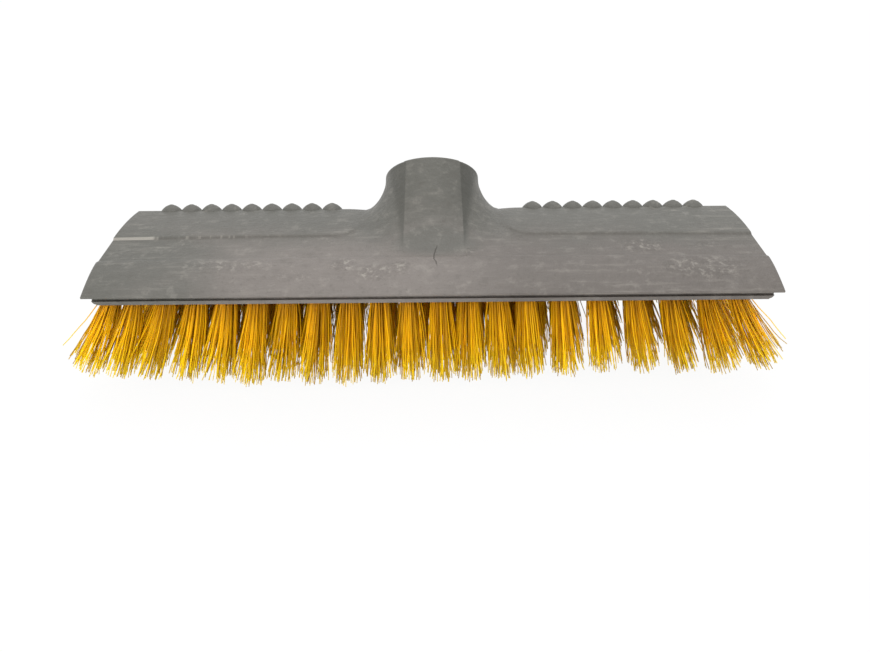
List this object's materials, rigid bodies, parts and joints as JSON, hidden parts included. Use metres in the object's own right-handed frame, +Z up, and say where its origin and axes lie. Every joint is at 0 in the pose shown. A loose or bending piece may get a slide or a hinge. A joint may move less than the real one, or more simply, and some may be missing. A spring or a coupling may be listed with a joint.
{
  "type": "broom head",
  "caption": "Grey plastic scrub-broom head with a tilted round handle socket, toothed rear edge and rows of yellow bristle tufts.",
  "frame": {"origin": "centre of the bounding box on the floor plane that the bristle tips touch", "axes": "+X along the head to the viewer's right, +Y from the front lip towards the toothed rear edge that the socket leans to, +Z up"},
  "size_m": [0.2831, 0.0842, 0.0737],
  "materials": {
    "grey_plastic": "matte",
    "yellow_bristle": "satin"
  },
  "bodies": {
    "root": {"head_block": "grey_plastic", "front_tuft_01": "yellow_bristle", "front_tuft_02": "yellow_bristle", "front_tuft_03": "yellow_bristle", "front_tuft_04": "yellow_bristle", "front_tuft_05": "yellow_bristle", "front_tuft_06": "yellow_bristle", "front_tuft_07": "yellow_bristle", "front_tuft_08": "yellow_bristle", "front_tuft_09": "yellow_bristle", "front_tuft_10": "yellow_bristle", "front_tuft_11": "yellow_bristle", "front_tuft_12": "yellow_bristle", "front_tuft_13": "yellow_bristle", "front_tuft_14": "yellow_bristle", "front_tuft_15": "yellow_bristle", "front_tuft_16": "yellow_bristle", "front_tuft_17": "yellow_bristle", "front_tuft_18": "yellow_bristle", "front_tuft_19": "yellow_bristle", "front_tuft_20": "yellow_bristle", "front_tuft_21": "yellow_bristle", "row_2_tufts_1": "yellow_bristle", "row_2_tufts_2": "yellow_bristle", "row_2_tufts_3": "yellow_bristle", "row_2_tufts_4": "yellow_bristle", "row_2_tufts_5": "yellow_bristle", "row_3_tufts_1": "yellow_bristle", "row_3_tufts_2": "yellow_bristle", "row_3_tufts_3": "yellow_bristle", "row_3_tufts_4": "yellow_bristle", "row_4_tufts_1": "yellow_bristle", "row_4_tufts_2": "yellow_bristle", "row_4_tufts_3": "yellow_bristle", "row_4_tufts_4": "yellow_bristle", "row_5_tufts_1": "yellow_bristle", "row_5_tufts_2": "yellow_bristle", "row_5_tufts_3": "yellow_bristle", "row_5_tufts_4": "yellow_bristle"}
  },
  "joints": []
}
